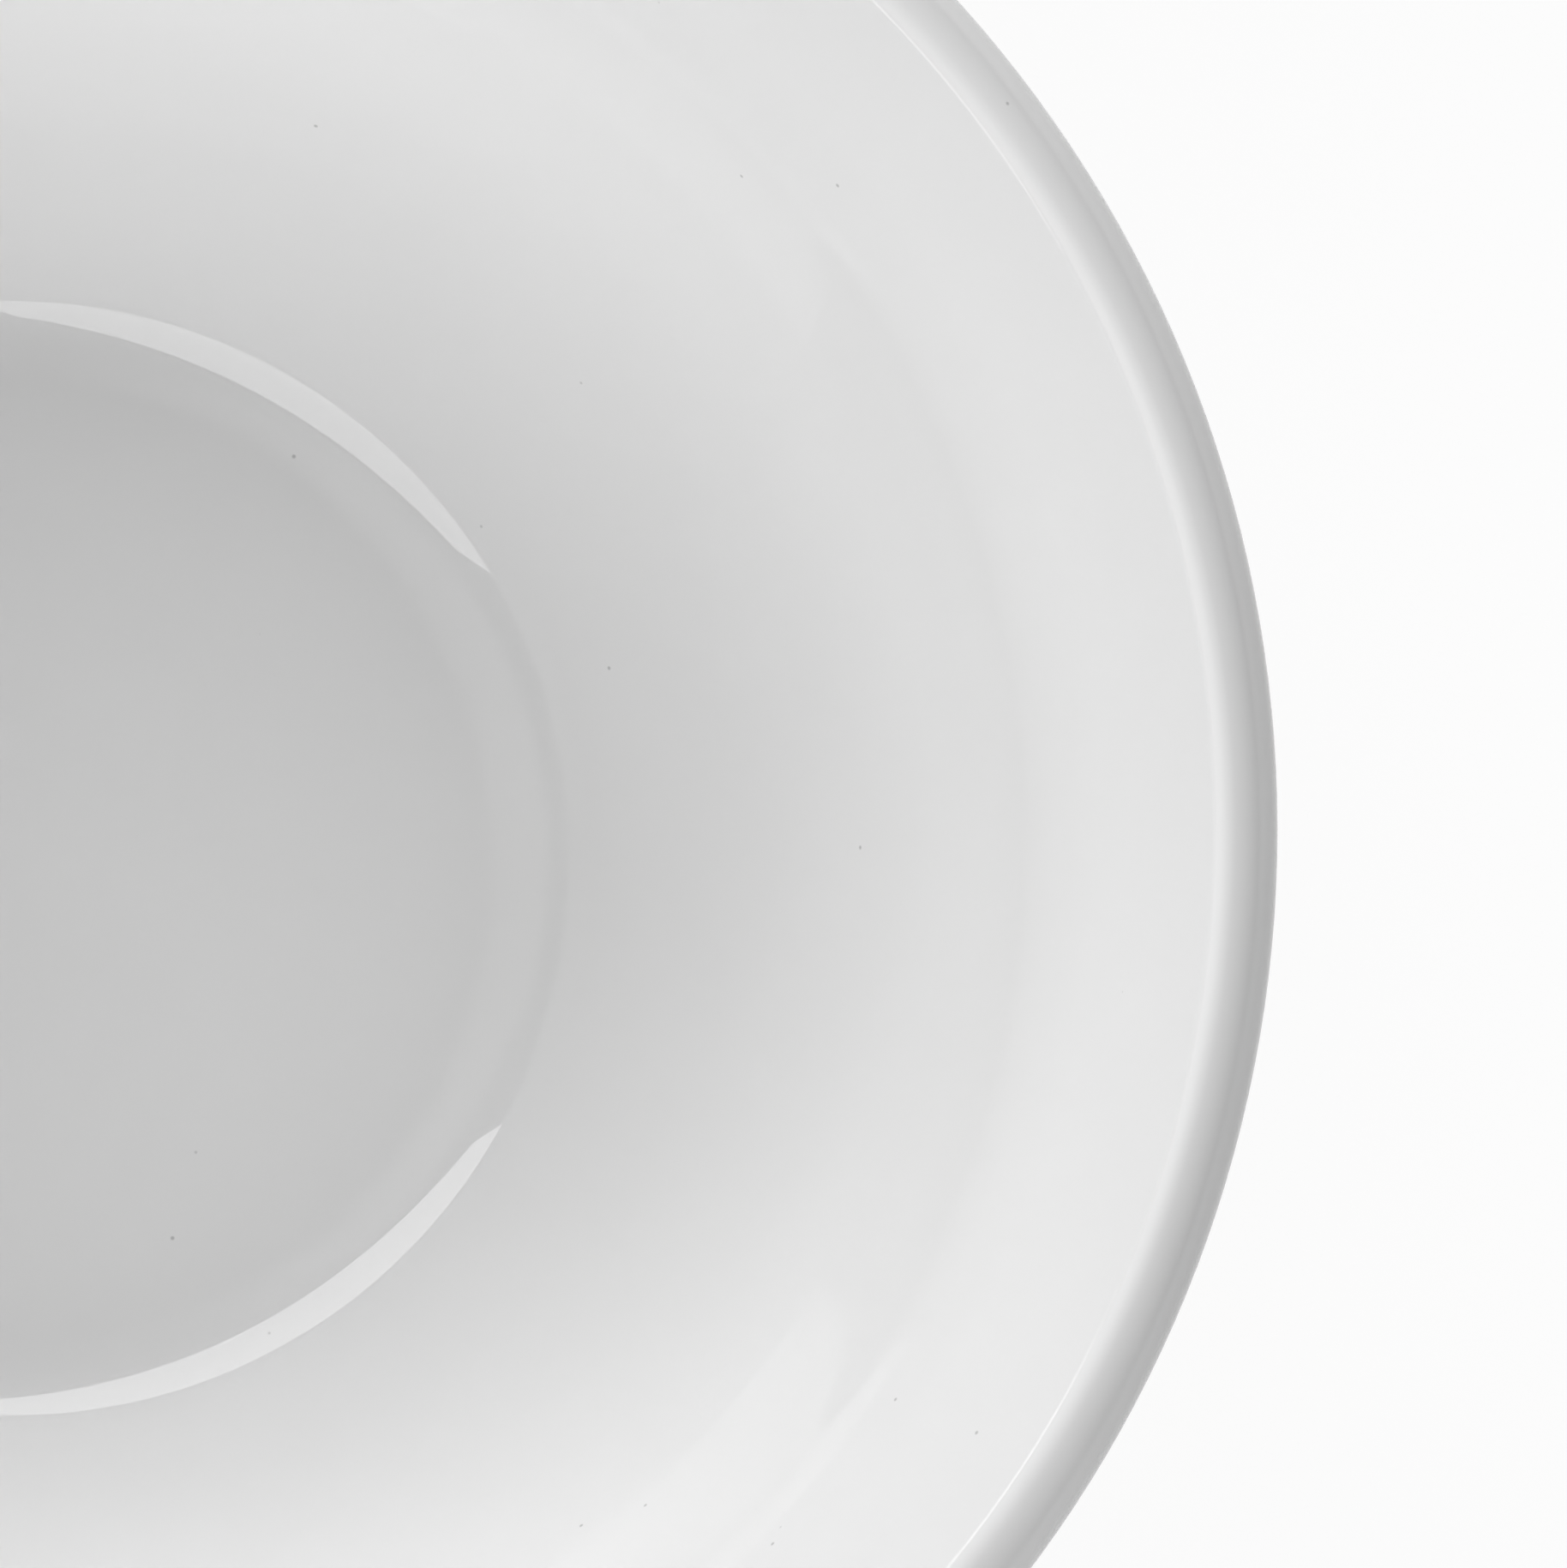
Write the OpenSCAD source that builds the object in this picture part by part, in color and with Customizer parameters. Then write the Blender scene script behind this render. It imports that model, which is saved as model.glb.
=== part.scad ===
// Shaving bowl of white glazed porcelain, with a soft non-slip ring bedded in its foot.
// Both pieces are turned about +Z. The bowl stands on the plane z = 0 with its mouth upwards.

/* [Bowl] */
// Diameter over the lip
bowl_d = 120; // [108:1:132]
// Height from the shelf to the top of the lip
bowl_h = 56; // [50:1:66]
// Thickness of the wall
wall = 5.5; // [4.5:0.1:6.5]
// Thickness of the bottom inside the foot
bottom_t = 5; // [4:0.1:7]
// Radius of the soft edge inside the lip
lip_edge_r = 0.4; // [0.2:0.1:0.8]
// Slope of the lip where it leaves that edge, rising, measured from level
lip_lean = 19; // [5:1:30]
// Radius of the round on top of the lip
lip_top_r = 1.4; // [1:0.1:2]
// Slope of the lip where its top passes into its side, falling, measured from level
lip_fall = 18; // [5:1:30]

/* [Inside] */
// Diameter of the flat part of the bottom
floor_d = 49.5; // [42:0.5:58]
// Radius where the bottom turns up into the wall
floor_fillet_r = 7.5; // [6:0.5:12]
// Radius of the gentle bow of the wall
wall_bow_r = 76; // [60:1:120]
// Radius where the wall bends outwards into the flared band
flare_r = 28; // [16:1:36]
// Slope of the flared band, measured from level
flare_angle = 57; // [50:1:62]
// Length of the flared band below the lip
flare_len = 8.4; // [5:0.2:11]

/* [Foot] */
// How far the foot stands outside the flat part of the bottom
foot_out = 5; // [3:0.5:7]
// Width of the foot
foot_w = 8; // [7:0.5:10]
// Height of the hollow inside the foot
hollow_h = 4; // [3:0.5:6]
// Radius of the blend between the foot and the outside of the bowl
foot_blend_r = 2.5; // [1.5:0.5:4]
// Radius of the foot's two standing edges
foot_edge_r = 0.8; // [0.4:0.1:1.2]
// Radius in the corner of the hollow
hollow_fillet_r = 1.5; // [0.5:0.5:2.5]

/* [Non-slip ring] */
// Width of the ring
ring_w = 3.2; // [2.4:0.1:4]
// Depth of the ring inside the foot
ring_bed = 1.6; // [1:0.1:2.2]
// How far the ring stands proud of the foot
ring_proud = 0.8; // [0.5:0.1:1.5]
// Clearance on each side of the ring in its groove
ring_gap = 0.1; // [0.05:0.05:0.2]
// Radius of the ring's standing edges
ring_edge_r = 0.5; // [0.2:0.1:0.8]

/* [Hidden] */
$fn = 180;

// Longest chord of an arc in an outline, and the fewest chords in one arc
arc_chord = 1;
arc_min_chords = 6;

porcelain = "whitesmoke";
silicone = "gainsboro";

// Heights, from the shelf upwards
foot_z = ring_proud;
under_z = foot_z + hollow_h;
floor_z = under_z + bottom_t;

// Radii of the foot and of the middle of its groove
foot_r = floor_d / 2 + foot_out;
hollow_r = foot_r - foot_w;
groove_mid_r = foot_r - foot_w / 2;
groove_half_w = ring_w / 2 + ring_gap;

function polar(r, angle) = r * [cos(angle), sin(angle)];
function heading(from, to) = atan2(to.y - from.y, to.x - from.x);

// Points along an arc about a centre, from one angle to another
function arc(centre, r, from, to) =
    let (chords = max(arc_min_chords, ceil(abs(to - from) * PI / 180 * r / arc_chord)))
    [for (i = [0:chords]) centre + polar(r, from + (to - from) * i / chords)];

// Where circles of radius ra about a and rb about b cross, to the left on the way from a to b
function crossing(a, ra, b, rb) =
    let (
        span = norm(b - a),
        way = (b - a) / span,
        along = (ra * ra - rb * rb + span * span) / (2 * span),
        aside = sqrt(ra * ra - along * along)
    )
    a + along * way + aside * [-way.y, way.x];

// Lip: a soft edge on the inside, a small round over the top, and a wide round on the side, which
// runs on to the outside of the wall. The wide round is as wide as the wall allows.
edge_angle = 90 + lip_lean;
side_angle = 90 - lip_fall;
edge_share = cos(flare_angle - lip_lean);
side_share = cos(flare_angle + lip_fall);
lip_side_w = wall - lip_edge_r - (lip_top_r - lip_edge_r) * edge_share + lip_top_r * side_share;
lip_side_r = lip_side_w / (1 + side_share);
lip_inset = lip_side_r - lip_top_r;
lip_top_c = [bowl_d / 2 - lip_side_r + lip_inset * cos(side_angle), bowl_h - lip_top_r];
lip_side_c = lip_top_c - polar(lip_inset, side_angle);
lip_edge_c = lip_top_c + polar(lip_top_r - lip_edge_r, edge_angle);

// Flared band, from the lip down to where the wall bends
band_top = lip_edge_c + polar(lip_edge_r, flare_angle + 90);
band_low = band_top - polar(flare_len, flare_angle);

// Centres of the three arcs of the wall, each tangent to the next
floor_fillet_c = [floor_d / 2, floor_z + floor_fillet_r];
flare_c = band_low + polar(flare_r, flare_angle - 90);
wall_bow_c = crossing(
    floor_fillet_c, wall_bow_r - floor_fillet_r,
    flare_c, wall_bow_r + flare_r
);

// Directions, from the centre of the bow, in which it meets the fillet and the bend
bow_low_angle = heading(wall_bow_c, floor_fillet_c);
bow_high_angle = heading(wall_bow_c, flare_c);

// Blend that sits against the foot's side and the outside of the bowl
outer_fillet_r = floor_fillet_r + wall;
blend_x = foot_r + foot_blend_r;
blend_reach = outer_fillet_r + foot_blend_r;
blend_drop = sqrt(pow(blend_reach, 2) - pow(blend_x - floor_fillet_c.x, 2));
blend_c = [blend_x, floor_fillet_c.y - blend_drop];
blend_angle = heading(floor_fillet_c, blend_c);

// Inside of the bowl, from the middle of the bottom over the top of the lip
inside_line = concat(
    [[0, floor_z]],
    arc(floor_fillet_c, floor_fillet_r, -90, bow_low_angle),
    arc(wall_bow_c, wall_bow_r, bow_low_angle, bow_high_angle),
    arc(flare_c, flare_r, bow_high_angle + 180, flare_angle + 90),
    arc(lip_edge_c, lip_edge_r, flare_angle + 90, edge_angle),
    arc(lip_top_c, lip_top_r, edge_angle, side_angle)
);

// Outside of the bowl, from the side of the lip to the side of the foot
outside_line = concat(
    arc(lip_side_c, lip_side_r, side_angle, flare_angle - 90),
    arc(flare_c, flare_r - wall, flare_angle + 90, bow_high_angle + 180),
    arc(wall_bow_c, wall_bow_r + wall, bow_high_angle, bow_low_angle),
    arc(floor_fillet_c, outer_fillet_r, bow_low_angle, blend_angle),
    arc(blend_c, foot_blend_r, blend_angle + 180, 180)
);

// Standing face of the foot and the hollow inside it
foot_line = concat(
    arc([foot_r - foot_edge_r, foot_z + foot_edge_r], foot_edge_r, 0, -90),
    arc([hollow_r + foot_edge_r, foot_z + foot_edge_r], foot_edge_r, -90, -180),
    arc([hollow_r - hollow_fillet_r, under_z - hollow_fillet_r], hollow_fillet_r, 0, 90),
    [[0, under_z]]
);

module groove_section() {
    translate([groove_mid_r - groove_half_w, 0])
        square([2 * groove_half_w, foot_z + ring_bed]);
}

module bowl() {
    color(porcelain)
        rotate_extrude()
            difference() {
                polygon(concat(inside_line, outside_line, foot_line));
                groove_section();
            }
}

module grip_ring() {
    ring_in = groove_mid_r - ring_w / 2;
    ring_out = groove_mid_r + ring_w / 2;
    ring_top = foot_z + ring_bed;
    color(silicone)
        rotate_extrude()
            polygon(concat(
                [[ring_in, ring_top], [ring_out, ring_top]],
                arc([ring_out - ring_edge_r, ring_edge_r], ring_edge_r, 0, -90),
                arc([ring_in + ring_edge_r, ring_edge_r], ring_edge_r, -90, -180)
            ));
}

bowl();
grip_ring();
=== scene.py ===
# %% [markdown]
# # A glazed shaving bowl
#
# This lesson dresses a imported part: a small porcelain bowl for whipping lather, with a silicone
# ring in its foot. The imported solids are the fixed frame. They give every size, and the pieces that
# are made here take their places, with finer surfaces and real finishes.
#
# The frame is loaded first. Its box is kept, so that the finished pieces can be held against it.

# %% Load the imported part
import math

import bmesh
import bpy
from mathutils import Matrix, Vector


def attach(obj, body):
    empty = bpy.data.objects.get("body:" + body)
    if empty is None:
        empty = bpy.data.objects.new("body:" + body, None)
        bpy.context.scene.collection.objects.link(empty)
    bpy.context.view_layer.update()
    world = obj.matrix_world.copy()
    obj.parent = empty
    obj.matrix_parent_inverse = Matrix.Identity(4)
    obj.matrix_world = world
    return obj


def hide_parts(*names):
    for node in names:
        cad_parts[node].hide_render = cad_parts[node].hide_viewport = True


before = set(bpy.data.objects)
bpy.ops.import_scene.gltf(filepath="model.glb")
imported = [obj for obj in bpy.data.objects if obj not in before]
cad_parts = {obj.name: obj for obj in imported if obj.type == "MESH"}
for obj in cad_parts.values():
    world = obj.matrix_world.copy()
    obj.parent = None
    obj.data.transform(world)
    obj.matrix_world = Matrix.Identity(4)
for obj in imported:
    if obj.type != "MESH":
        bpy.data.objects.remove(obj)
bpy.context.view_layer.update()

print("packed nodes:", sorted(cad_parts))

# %% [markdown]
# ## Sizes of the section
#
# A bowl that is turned on a wheel is known by one half of its cross-section. The section here is a
# chain of arcs that run smoothly into each other: a flat bottom, a fillet, a gently bowed wall, a
# bend outwards, a flared band and a rounded lip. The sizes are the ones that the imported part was
# made from, so the two surfaces lie on each other.

# %% Sizes of the section
MM = 0.001

bowl_r = 60 * MM
bowl_h = 56 * MM
wall = 5.5 * MM
bottom_t = 5 * MM
lip_edge_r = 0.4 * MM
lip_lean = 19
lip_top_r = 1.4 * MM
lip_fall = 18
floor_r = 24.75 * MM
floor_fillet_r = 7.5 * MM
wall_bow_r = 76 * MM
flare_r = 28 * MM
flare_angle = 57
flare_len = 8.4 * MM

foot_out = 5 * MM
foot_w = 8 * MM
foot_z = 0.8 * MM
hollow_h = 4 * MM
foot_blend_r = 2.5 * MM
foot_edge_r = 0.8 * MM
hollow_fillet_r = 1.5 * MM

ring_w = 3.2 * MM
ring_bed = 1.6 * MM
ring_gap = 0.1 * MM
ring_edge_r = 0.5 * MM

under_z = foot_z + hollow_h
floor_z = under_z + bottom_t
foot_r = floor_r + foot_out
hollow_r = foot_r - foot_w
groove_mid_r = foot_r - foot_w / 2
print("inside depth in mm:", round((bowl_h - floor_z) / MM, 2))

# %% [markdown]
# ## Centres of the arcs
#
# Two arcs are tangent where their centres lie in line with the point where they meet. The lip and
# the fillet are placed by the height and the width of the bowl. The long bow of the wall then has
# to touch the fillet from inside and the bend from outside, so its centre lies where two circles
# cross.

# %% Centres of the arcs


def polar(r, angle):
    """A step of length r in the section, at an angle in degrees from level."""
    return Vector((r * math.cos(math.radians(angle)), r * math.sin(math.radians(angle))))


def heading(start, end):
    """The angle in degrees at which one point of the section sees another."""
    return math.degrees(math.atan2(end.y - start.y, end.x - start.x))


def crossing(a, ra, b, rb):
    """Where circles of radius ra about a and rb about b cross, left of the way from a to b."""
    span = (b - a).length
    way = (b - a) / span
    along = (ra * ra - rb * rb + span * span) / (2 * span)
    aside = math.sqrt(ra * ra - along * along)
    return a + along * way + aside * Vector((-way.y, way.x))


edge_share = polar(1, flare_angle - lip_lean).x
side_share = polar(1, flare_angle + lip_fall).x
lip_side_w = wall - lip_edge_r - (lip_top_r - lip_edge_r) * edge_share + lip_top_r * side_share
lip_side_r = lip_side_w / (1 + side_share)
lip_inset = polar(lip_side_r - lip_top_r, 90 - lip_fall)
lip_top_c = Vector((bowl_r - lip_side_r + lip_inset.x, bowl_h - lip_top_r))
lip_side_c = lip_top_c - lip_inset
lip_edge_c = lip_top_c + polar(lip_top_r - lip_edge_r, 90 + lip_lean)
band_top = lip_edge_c + polar(lip_edge_r, flare_angle + 90)
band_low = band_top - polar(flare_len, flare_angle)

fillet_c = Vector((floor_r, floor_z + floor_fillet_r))
flare_c = band_low + polar(flare_r, flare_angle - 90)
bow_c = crossing(fillet_c, wall_bow_r - floor_fillet_r, flare_c, wall_bow_r + flare_r)
bow_low = heading(bow_c, fillet_c)
bow_high = heading(bow_c, flare_c)

outer_fillet_r = floor_fillet_r + wall
blend_reach = outer_fillet_r + foot_blend_r
blend_drop = math.sqrt(blend_reach ** 2 - (foot_r + foot_blend_r - floor_r) ** 2)
blend_c = Vector((foot_r + foot_blend_r, fillet_c.y - blend_drop))
blend_angle = heading(fillet_c, blend_c)
print("slope of the wall where the fillet ends:", round(bow_low + 90, 1), "degrees")
print("slope of the wall at its steepest:", round(bow_high + 90, 1), "degrees")

# %% [markdown]
# ## Drawing a section with operators
#
# A section could be typed in as a list of points, but an arc is better drawn the way a compass
# draws it. Spin carries one vertex round a centre and leaves a line of edges behind, and a straight
# run is one extruded vertex. The section lies in the XZ plane, and turning about -Y makes angles
# grow from +X towards +Z.

# %% Drawing a section with operators


def start_line(bm, point):
    """The first vertex of a section."""
    return bm.verts.new((point.x, 0, point.y))


def run_line(bm, tip, *points):
    """Carries the section on in straight runs, and returns its new tip."""
    for point in points:
        tip = bmesh.ops.extrude_vert_indiv(bm, verts=[tip])["verts"][0]
        tip.co = (point.x, 0, point.y)
    return tip


def sweep_line(bm, tip, centre, turn, steps):
    """Carries the tip of the section round a centre by a turn in degrees, to its new tip."""
    swept = bmesh.ops.spin(bm, geom=[tip], cent=(centre.x, 0, centre.y), axis=(0, -1, 0),
                           angle=math.radians(turn), steps=steps)
    return next(g for g in swept["geom_last"] if isinstance(g, bmesh.types.BMVert))


print("section tools ready")

# %% [markdown]
# ## The bowl's section
#
# The line starts in the middle of the bottom, climbs the inside, turns over the lip, comes down the
# outside and ends in the hollow under the bottom. The glaze mirrors the lamps, so the arcs have
# many steps: a coarse arc would show as facets in the mirror image. The straight runs have points
# at a few shares of their length. The last share but one lies close to the end, which keeps the
# bottom flat under smooth shading.

# %% The bowl's section
floor_shares = (0.3, 0.6, 0.85, 0.985, 1)
band_shares = (0.25, 0.5, 0.75, 0.97, 1)
back_shares = (0.5, 1)
fillet_steps, bow_steps, flare_steps = 28, 36, 14
lip_edge_steps, lip_top_steps, lip_side_steps = 8, 16, 36
outer_flare_steps, outer_bow_steps, outer_fillet_steps = 12, 32, 8
blend_steps = 10

bowl_mesh = bmesh.new()
tip = start_line(bowl_mesh, Vector((0, floor_z)))
tip = run_line(bowl_mesh, tip, *[Vector((floor_r * share, floor_z)) for share in floor_shares])
tip = sweep_line(bowl_mesh, tip, fillet_c, bow_low + 90, fillet_steps)
tip = sweep_line(bowl_mesh, tip, bow_c, bow_high - bow_low, bow_steps)
tip = sweep_line(bowl_mesh, tip, flare_c, flare_angle - 90 - bow_high, flare_steps)
tip = run_line(bowl_mesh, tip, *[band_low.lerp(band_top, share) for share in band_shares])
tip = sweep_line(bowl_mesh, tip, lip_edge_c, lip_lean - flare_angle, lip_edge_steps)
tip = sweep_line(bowl_mesh, tip, lip_top_c, -lip_lean - lip_fall, lip_top_steps)
tip = sweep_line(bowl_mesh, tip, lip_side_c, flare_angle + lip_fall - 180, lip_side_steps)
out = polar(wall, flare_angle - 90)
tip = run_line(bowl_mesh, tip, *[band_top.lerp(band_low, share) + out for share in back_shares])
tip = sweep_line(bowl_mesh, tip, flare_c, bow_high + 90 - flare_angle, outer_flare_steps)
tip = sweep_line(bowl_mesh, tip, bow_c, bow_low - bow_high, outer_bow_steps)
tip = sweep_line(bowl_mesh, tip, fillet_c, blend_angle - bow_low, outer_fillet_steps)
tip = sweep_line(bowl_mesh, tip, blend_c, -blend_angle, blend_steps)
print("section of the bowl so far:", len(bowl_mesh.verts), "points")

# %% [markdown]
# ## Foot, groove and hollow
#
# The foot stands below the bowl. Its standing face has a square groove for the ring. The corners of
# the groove are drawn sharp and get a small bevel later, because a fired edge is never a knife
# edge.

# %% Foot, groove and hollow
foot_edge_steps = 6
hollow_steps = 8
hollow_shares = (0.9, 0.5, 0)
groove_half_w = ring_w / 2 + ring_gap
groove_out = groove_mid_r + groove_half_w
groove_in = groove_mid_r - groove_half_w
groove_top = foot_z + ring_bed
foot_outer_c = Vector((foot_r - foot_edge_r, foot_z + foot_edge_r))
foot_inner_c = Vector((hollow_r + foot_edge_r, foot_z + foot_edge_r))
hollow_c = Vector((hollow_r - hollow_fillet_r, under_z - hollow_fillet_r))

tip = run_line(bowl_mesh, tip, Vector((foot_r, foot_outer_c.y)))
tip = sweep_line(bowl_mesh, tip, foot_outer_c, -90, foot_edge_steps)
tip = run_line(
    bowl_mesh, tip,
    Vector((groove_out, foot_z)), Vector((groove_out, groove_top)),
    Vector((groove_in, groove_top)), Vector((groove_in, foot_z)),
    Vector((foot_inner_c.x, foot_z)),
)
tip = sweep_line(bowl_mesh, tip, foot_inner_c, -90, foot_edge_steps)
tip = run_line(bowl_mesh, tip, Vector((hollow_r, hollow_c.y)))
tip = sweep_line(bowl_mesh, tip, hollow_c, 90, hollow_steps)
tip = run_line(bowl_mesh, tip, *[Vector((hollow_r * share, under_z)) for share in hollow_shares])
print("whole section of the bowl:", len(bowl_mesh.verts), "points")

# %% [markdown]
# ## Turning a section into a piece
#
# One full spin about Z turns the section into a body, as a potter's wheel does. The spin merges its
# last copy with the first, the points on the axis are merged into one, and the normals are then
# worked out again so that every face looks outwards. Edges that meet at a sharp angle are bevelled.

# %% Turning a section into a piece
merge_reach = 0.001 * MM
corner_angle = math.radians(60)
crease_angle = math.radians(35)


def turn_on_wheel(bm, steps, edge_bevel):
    """Spins a section about Z into a closed body and softens its sharp corners."""
    bmesh.ops.spin(bm, geom=bm.verts[:] + bm.edges[:], cent=(0, 0, 0), axis=(0, 0, 1),
                   angle=2 * math.pi, steps=steps, use_merge=True)
    bmesh.ops.remove_doubles(bm, verts=bm.verts, dist=merge_reach)
    bmesh.ops.recalc_face_normals(bm, faces=bm.faces)
    corners = [e for e in bm.edges if e.is_manifold and e.calc_face_angle() > corner_angle]
    bmesh.ops.bevel(bm, geom=corners, offset=edge_bevel, affect="EDGES", segments=2, profile=0.5,
                    material=-1)
    return len(corners)


def edge_uses(mesh):
    """How many faces use each edge."""
    uses = [0] * len(mesh.edges)
    for loop in mesh.loops:
        uses[loop.edge_index] += 1
    return uses


def finish_piece(bm, name):
    """Makes the smooth-shaded object of a finished bmesh, at the origin."""
    mesh = bpy.data.meshes.new(name)
    bm.to_mesh(mesh)
    bm.free()
    mesh.shade_smooth()
    mesh.set_sharp_from_angle(angle=crease_angle)
    piece = bpy.data.objects.new(name, mesh)
    bpy.context.scene.collection.objects.link(piece)
    open_edges = sum(1 for count in edge_uses(mesh) if count != 2)
    print(name, "has", len(mesh.polygons), "faces and", open_edges, "open edges")
    return piece


softened = turn_on_wheel(bowl_mesh, steps=256, edge_bevel=0.15 * MM)
print("softened groove edges:", softened)
bowl = finish_piece(bowl_mesh, "porcelain_bowl")

# %% [markdown]
# ## The non-slip ring
#
# The ring is moulded in silicone and pressed into the groove. It could be a torus, but a moulded
# ring has a flat top that lies against the roof of the groove and a flat face to stand on, so it
# gets a section of its own. Its standing edges are rounded, and its upper ones only softened.

# %% The non-slip ring
ring_edge_steps = 6
ring_in = groove_mid_r - ring_w / 2
ring_out = groove_mid_r + ring_w / 2
ring_outer_c = Vector((ring_out - ring_edge_r, ring_edge_r))
ring_inner_c = Vector((ring_in + ring_edge_r, ring_edge_r))

ring_mesh = bmesh.new()
tip = start_line(ring_mesh, Vector((ring_in, ring_edge_r)))
tip = run_line(ring_mesh, tip, Vector((ring_in, groove_top)), Vector((ring_out, groove_top)),
               Vector((ring_out, ring_edge_r)))
tip = sweep_line(ring_mesh, tip, ring_outer_c, -90, ring_edge_steps)
tip = run_line(ring_mesh, tip, Vector((ring_inner_c.x, 0)))
tip = sweep_line(ring_mesh, tip, ring_inner_c, -90, ring_edge_steps)
bmesh.ops.remove_doubles(ring_mesh, verts=ring_mesh.verts, dist=merge_reach)
turn_on_wheel(ring_mesh, steps=192, edge_bevel=0.1 * MM)
ring = finish_piece(ring_mesh, "silicone_ring")

# %% [markdown]
# ## White glaze
#
# The bowl is white porcelain under a clear, fired glaze. The body colour is a neutral white with
# faint clouds in it, and a few dark specks of iron have burnt through. The gloss is the shader's
# own, with a clear coat over it, because a thick glaze mirrors more than bare porcelain. A very
# shallow, slow bump makes the mirror images waver a little, as they do in a real glaze.
#
# A Mix node has sockets for numbers, vectors and colours. The colours are its inputs 6 and 7 and
# its output 2, which get names here.

# %% White glaze
FIRST_COLOUR, SECOND_COLOUR, MIXED_COLOUR = 6, 7, 2


def node_tools(tree):
    """Two short helpers that add nodes to a tree and join them."""

    def add(kind, **values):
        node = tree.nodes.new(kind)
        for key, value in values.items():
            if key in node.inputs:
                node.inputs[key].default_value = value
            else:
                setattr(node, key, value)
        return node

    return add, tree.links.new


def new_finish(name):
    """An empty node material with its shader and the helpers that work on it."""
    finish = bpy.data.materials.new(name)
    finish.use_nodes = True
    shader = finish.node_tree.nodes["Principled BSDF"]
    return finish, shader, *node_tools(finish.node_tree)


white_glaze, glaze, add, join = new_finish("white_glaze")
place = add("ShaderNodeTexCoord")

clouds = add("ShaderNodeTexNoise", Scale=70.0, Detail=3.0, Roughness=0.55)
join(place.outputs["Object"], clouds.inputs["Vector"])
cloud_tint = add("ShaderNodeMix", data_type="RGBA")
cloud_tint.inputs[FIRST_COLOUR].default_value = (0.835, 0.835, 0.835, 1)
cloud_tint.inputs[SECOND_COLOUR].default_value = (0.865, 0.865, 0.865, 1)
join(clouds.outputs["Fac"], cloud_tint.inputs["Factor"])

specks = add("ShaderNodeTexVoronoi", Scale=220.0, Randomness=1.0)
join(place.outputs["Object"], specks.inputs["Vector"])
speck_mask = add("ShaderNodeMapRange")
speck_mask.inputs["From Min"].default_value = 0.012
speck_mask.inputs["From Max"].default_value = 0.030
speck_mask.inputs["To Min"].default_value = 0.55
speck_mask.inputs["To Max"].default_value = 0.0
join(specks.outputs["Distance"], speck_mask.inputs["Value"])
body_tint = add("ShaderNodeMix", data_type="RGBA")
body_tint.inputs[SECOND_COLOUR].default_value = (0.29, 0.29, 0.29, 1)
join(cloud_tint.outputs[MIXED_COLOUR], body_tint.inputs[FIRST_COLOUR])
join(speck_mask.outputs["Result"], body_tint.inputs["Factor"])
join(body_tint.outputs[MIXED_COLOUR], glaze.inputs["Base Color"])

waves = add("ShaderNodeTexNoise", Scale=260.0, Detail=1.0, Roughness=0.4)
join(place.outputs["Object"], waves.inputs["Vector"])
waver = add("ShaderNodeBump", Strength=0.01, Distance=0.0004)
join(waves.outputs["Fac"], waver.inputs["Height"])
join(waver.outputs["Normal"], glaze.inputs["Normal"])
join(waver.outputs["Normal"], glaze.inputs["Coat Normal"])

gloss = add("ShaderNodeMapRange")
gloss.inputs["To Min"].default_value = 0.005
gloss.inputs["To Max"].default_value = 0.02
join(clouds.outputs["Fac"], gloss.inputs["Value"])
join(gloss.outputs["Result"], glaze.inputs["Roughness"])
glaze.inputs["IOR"].default_value = 1.5
glaze.inputs["Coat Weight"].default_value = 0.27
glaze.inputs["Coat Roughness"].default_value = 0.005
glaze.inputs["Coat IOR"].default_value = 1.5
print("white glaze has", len(white_glaze.node_tree.nodes), "nodes")

# %% [markdown]
# ## Bare porcelain
#
# A bowl is fired standing on its foot, so the foot's standing face is wiped clean of glaze before
# the firing. That leaves a matt, slightly warm ring with a fine grain. The groove is bare as well.

# %% Bare porcelain
bare_porcelain, bare, add, join = new_finish("bare_porcelain")
place = add("ShaderNodeTexCoord")
grain = add("ShaderNodeTexNoise", Scale=2600.0, Detail=4.0, Roughness=0.65)
join(place.outputs["Object"], grain.inputs["Vector"])
grain_tint = add("ShaderNodeValToRGB")
grain_tint.color_ramp.elements[0].color = (0.60, 0.585, 0.555, 1)
grain_tint.color_ramp.elements[1].color = (0.74, 0.73, 0.705, 1)
join(grain.outputs["Fac"], grain_tint.inputs["Fac"])
join(grain_tint.outputs["Color"], bare.inputs["Base Color"])
tooth = add("ShaderNodeBump", Strength=0.35, Distance=0.0001)
join(grain.outputs["Fac"], tooth.inputs["Height"])
join(tooth.outputs["Normal"], bare.inputs["Normal"])
bare.inputs["Roughness"].default_value = 0.8

bowl.data.materials.append(white_glaze)
bowl.data.materials.append(bare_porcelain)
wiped = 0
wiped_height = foot_z + 0.4 * MM
groove_height = groove_top + 0.1 * MM
groove_reach = groove_half_w + 0.2 * MM
for face in bowl.data.polygons:
    reach = math.hypot(face.center.x, face.center.y)
    under_foot = hollow_r < reach < foot_r and face.center.z < wiped_height
    in_groove = abs(reach - groove_mid_r) < groove_reach and face.center.z < groove_height
    if under_foot or in_groove:
        face.material_index = 1
        wiped += 1
print("faces without glaze:", wiped)

# %% [markdown]
# ## Clear silicone
#
# The ring is soft, milky silicone with a satin skin. It lets a little light into itself, which a
# touch of subsurface scattering gives, and dust and small moulding marks break up its shine.

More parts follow.
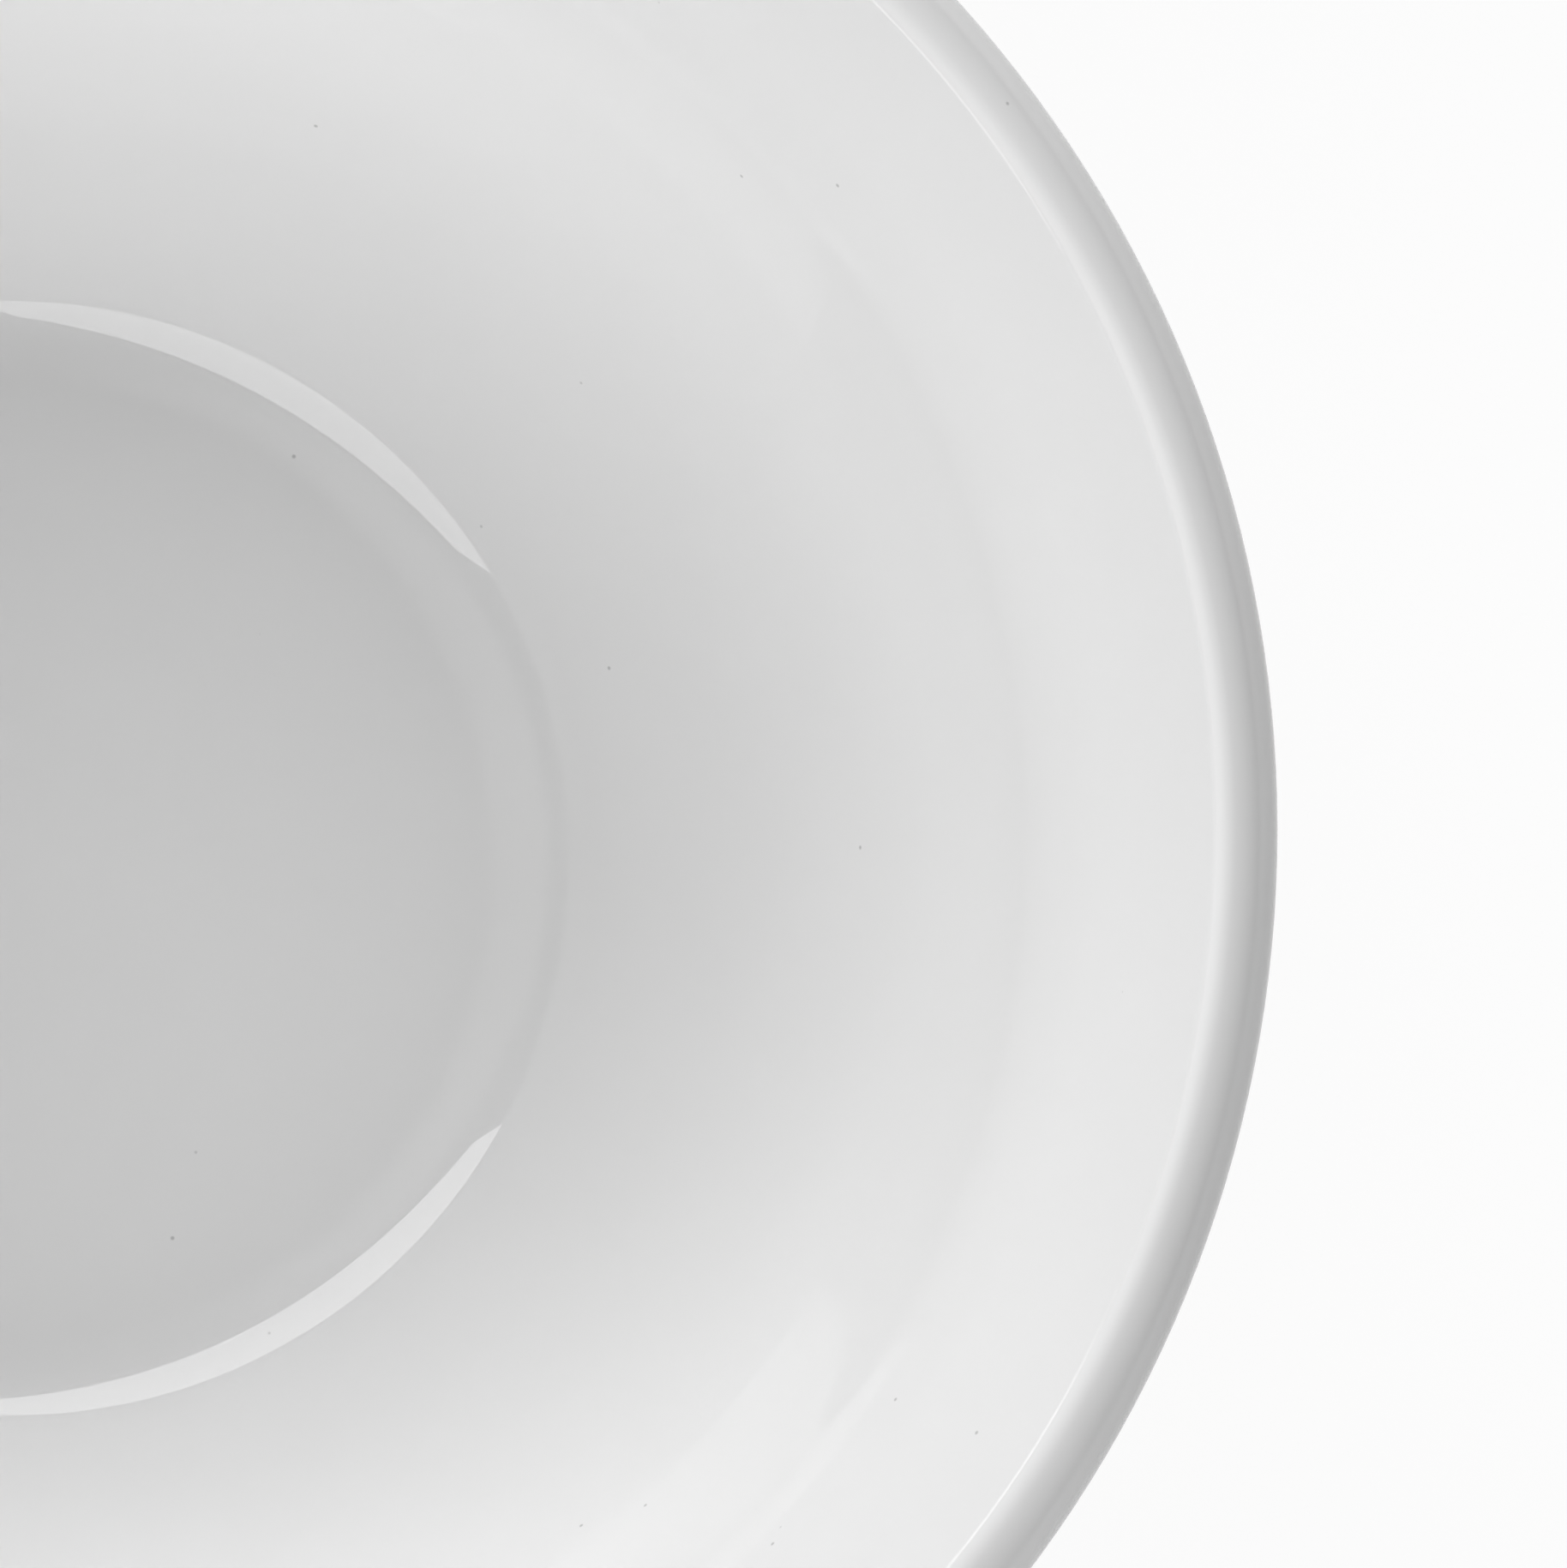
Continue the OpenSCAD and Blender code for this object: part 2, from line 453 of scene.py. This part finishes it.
# %% Clear silicone
clear_silicone, silicone, add, join = new_finish("clear_silicone")
place = add("ShaderNodeTexCoord")
dust = add("ShaderNodeTexNoise", Scale=900.0, Detail=5.0, Roughness=0.6)
join(place.outputs["Object"], dust.inputs["Vector"])
dust_tint = add("ShaderNodeValToRGB")
dust_tint.color_ramp.elements[0].color = (0.56, 0.57, 0.57, 1)
dust_tint.color_ramp.elements[1].color = (0.68, 0.69, 0.69, 1)
join(dust.outputs["Fac"], dust_tint.inputs["Fac"])
join(dust_tint.outputs["Color"], silicone.inputs["Base Color"])
satin = add("ShaderNodeMapRange")
satin.inputs["To Min"].default_value = 0.38
satin.inputs["To Max"].default_value = 0.58
join(dust.outputs["Fac"], satin.inputs["Value"])
join(satin.outputs["Result"], silicone.inputs["Roughness"])
skin = add("ShaderNodeBump", Strength=0.12, Distance=0.0001)
join(dust.outputs["Fac"], skin.inputs["Height"])
join(skin.outputs["Normal"], silicone.inputs["Normal"])
silicone.inputs["IOR"].default_value = 1.41
silicone.inputs["Subsurface Weight"].default_value = 0.25
silicone.inputs["Subsurface Radius"].default_value = (0.002, 0.002, 0.002)
silicone.inputs["Subsurface Scale"].default_value = 0.5
ring.data.materials.append(clear_silicone)
print("clear silicone has", len(clear_silicone.node_tree.nodes), "nodes")

# %% [markdown]
# ## Pieces take their nodes' places
#
# Each piece rides on the part's only body and stands for the imported solid that it refines.

# %% Pieces take their nodes' places
for piece, node, slot in ((bowl, "bowl", "white_glaze"), (ring, "grip_ring", "clear_silicone")):
    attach(piece, "root")
    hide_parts(node)
    print(piece.name, "stands for", node)

# %% [markdown]
# ## The table
#
# The bowl stands on a plain white table. To the camera the table is nearly pure white, as in an
# over-lit studio shot, and only a small share of its real shading is kept, so that the bowl still
# throws a faint shadow. Mirror images keep more of that shading, because a table that glowed in the
# glaze would draw its far edge as a line along the side of the lip. All other light meets a plain
# matt surface. The table lies a hair below the ring, so that the two faces don't coincide.

# %% The table
table_half = 3.0
table_drop = 0.05 * MM
white_to_camera = 0.88
white_in_mirrors = 0.25

table_mesh = bmesh.new()
bmesh.ops.create_grid(table_mesh, x_segments=1, y_segments=1, size=table_half)
bmesh.ops.translate(table_mesh, verts=table_mesh.verts, vec=(0, 0, -table_drop))
table_data = bpy.data.meshes.new("white_table")
table_mesh.to_mesh(table_data)
table_mesh.free()
table = bpy.data.objects.new("white_table", table_data)
bpy.context.scene.collection.objects.link(table)

matt_white, matt, add, join = new_finish("matt_white_table")
matt.inputs["Roughness"].default_value = 1.0
matt.inputs["Specular IOR Level"].default_value = 0.0
rays = add("ShaderNodeLightPath")
mirrored = add("ShaderNodeMath", operation="MAXIMUM")
join(rays.outputs["Is Glossy Ray"], mirrored.inputs[0])
join(rays.outputs["Is Transmission Ray"], mirrored.inputs[1])
seen = add("ShaderNodeMath", operation="MAXIMUM")
join(rays.outputs["Is Camera Ray"], seen.inputs[0])
join(mirrored.outputs["Value"], seen.inputs[1])
paint = add("ShaderNodeMix", data_type="RGBA")
paint.inputs[FIRST_COLOUR].default_value = (0.5, 0.5, 0.5, 1)
paint.inputs[SECOND_COLOUR].default_value = (1, 1, 1, 1)
join(seen.outputs["Value"], paint.inputs["Factor"])
join(paint.outputs[MIXED_COLOUR], matt.inputs["Base Color"])
mirror_share = add("ShaderNodeMath", operation="MULTIPLY")
mirror_share.inputs[1].default_value = white_in_mirrors
join(mirrored.outputs["Value"], mirror_share.inputs[0])
white_share = add("ShaderNodeMath", operation="MULTIPLY_ADD")
white_share.inputs[1].default_value = white_to_camera
join(rays.outputs["Is Camera Ray"], white_share.inputs[0])
join(mirror_share.outputs["Value"], white_share.inputs[2])
white = add("ShaderNodeEmission")
white.inputs["Strength"].default_value = 1.0
either = add("ShaderNodeMixShader")
join(white_share.outputs["Value"], either.inputs["Fac"])
join(matt.outputs["BSDF"], either.inputs[1])
join(white.outputs["Emission"], either.inputs[2])
join(either.outputs["Shader"], matt_white.node_tree.nodes["Material Output"].inputs["Surface"])
table_data.materials.append(matt_white)
print("table is", 2 * table_half, "m wide")

# %% [markdown]
# ## Light
#
# Two tall soft boxes stand to the left of the bowl, one on either side of the camera's line, and
# two narrow ones stand to the right. The room around them is dim, apart from a soft, round glow
# high up on the left, which is painted into the world. The mirror images of the first two boxes are
# the pale crescents at the edge of the bottom. Their inner edges are curved, so the boxes have
# arched tops. An area lamp can't have that shape, but its nodes know where on the lamp they are and
# can switch off what lies above the arch. A lamp is given in watts, so a helper works out the power
# that gives a wanted brightness.

# %% Light
room_glow = 0.035
high_glow = 0.65
high_glow_way = (-0.35, 0, 0.937)
high_glow_edge = 0.88
high_glow_core = 0.965
box_foot = Vector((0.564, 0.197))
box_head = Vector((0.880, 1.255))
box_arch = 2.5
box_arch_blur = 0.004

room = bpy.data.worlds.new("dim_room")
room.use_nodes = True
backdrop = room.node_tree.nodes["Background"]
backdrop.inputs["Color"].default_value = (1, 1, 1, 1)
add, join = node_tools(room.node_tree)
nearness = add("ShaderNodeVectorMath", operation="DOT_PRODUCT")
nearness.inputs[1].default_value = high_glow_way
join(add("ShaderNodeTexCoord").outputs["Generated"], nearness.inputs[0])
glow = add("ShaderNodeMapRange")
glow.inputs["From Min"].default_value = high_glow_edge
glow.inputs["From Max"].default_value = high_glow_core
glow.inputs["To Min"].default_value = room_glow
glow.inputs["To Max"].default_value = high_glow
join(nearness.outputs["Value"], glow.inputs["Value"])
join(glow.outputs["Result"], backdrop.inputs["Strength"])
bpy.context.scene.world = room


def arch_top(lamp):
    """Keeps the part of a lamp that lies under a parabola through the middle of its head."""
    lamp.use_nodes = True
    add, join = node_tools(lamp.node_tree)
    spot = add("ShaderNodeSeparateXYZ")
    join(add("ShaderNodeNewGeometry").outputs["Parametric"], spot.inputs["Vector"])
    aside = add("ShaderNodeMath", operation="SUBTRACT")
    aside.inputs[1].default_value = 0.5
    join(spot.outputs["X"], aside.inputs[0])
    drop = add("ShaderNodeMath", operation="MULTIPLY")
    join(aside.outputs["Value"], drop.inputs[0])
    join(aside.outputs["Value"], drop.inputs[1])
    level = add("ShaderNodeMath", operation="MULTIPLY_ADD")
    level.inputs[1].default_value = box_arch * lamp.size ** 2
    join(drop.outputs["Value"], level.inputs[0])
    join(spot.outputs["Y"], level.inputs[2])
    under = add("ShaderNodeMapRange")
    under.inputs["From Min"].default_value = 1 - box_arch_blur
    under.inputs["From Max"].default_value = 1 + box_arch_blur
    under.inputs["To Min"].default_value = 1.0
    under.inputs["To Max"].default_value = 0.0
    join(level.outputs["Value"], under.inputs["Value"])
    join(under.outputs["Result"], lamp.node_tree.nodes["Emission"].inputs["Strength"])


def soft_box(name, azimuth, width, brightness):
    """An area lamp with an arched top, which leans back from the bowl."""
    lamp = bpy.data.lights.new(name, "AREA")
    lamp.shape = "RECTANGLE"
    lamp.size = width
    lamp.size_y = (box_head - box_foot).length
    lamp.energy = brightness * math.pi * lamp.size * lamp.size_y
    arch_top(lamp)
    box = bpy.data.objects.new(name, lamp)
    bpy.context.scene.collection.objects.link(box)
    away = polar(1, azimuth).to_3d()
    foot, head = (away * end.x + Vector((0, 0, end.y)) for end in (box_foot, box_head))
    up = (head - foot).normalized()
    aside = up.cross(away).normalized()
    turn = Matrix((aside, up, aside.cross(up))).transposed().to_4x4()
    box.matrix_world = Matrix.Translation((foot + head) / 2) @ turn
    box.visible_camera = False
    print(name, "gives", round(lamp.energy, 2), "W")


soft_box("near_left_box", azimuth=-116, width=0.84, brightness=2.6)
soft_box("far_left_box", azimuth=114, width=0.84, brightness=3.2)
soft_box("near_right_box", azimuth=-70, width=0.32, brightness=2.5)
soft_box("far_right_box", azimuth=71, width=0.32, brightness=3.3)

# %% [markdown]
# ## Camera
#
# The photograph looks almost straight down on the right half of the bowl. The camera stands a
# little to the left of the bowl's axis and towards the viewer, high above the lip. It is aimed at
# the point of the lip's plane that lies in the middle of the picture. The outer radius of the lip
# in the picture gives the size of a pixel, and the picture's width then asks for a lens.

# %% Camera
image_w = 1828
lip_radius_in_pixels = 1429.7
pixel = bowl_r / lip_radius_in_pixels
lip_level = lip_side_c.y
eye = Vector((-38.6 * MM, -33.3 * MM, lip_level + 690 * MM))
aim = Vector((35.63 * MM, 2.02 * MM, lip_level))

lens = bpy.data.cameras.new("overhead_camera")
camera = bpy.data.objects.new("overhead_camera", lens)
bpy.context.scene.collection.objects.link(camera)
look = (aim - eye).normalized()
right = look.cross(Vector((0, 1, 0))).normalized()
turn = Matrix((right, right.cross(look), -look)).transposed().to_4x4()
camera.matrix_world = Matrix.Translation(eye) @ turn
lens.sensor_width = 36
lens.lens = lens.sensor_width * (aim - eye).length / (image_w * pixel)
lens.clip_end = 20
bpy.context.scene.camera = camera
bpy.context.scene.view_settings.view_transform = "Standard"
print("lens in mm:", round(lens.lens, 1))
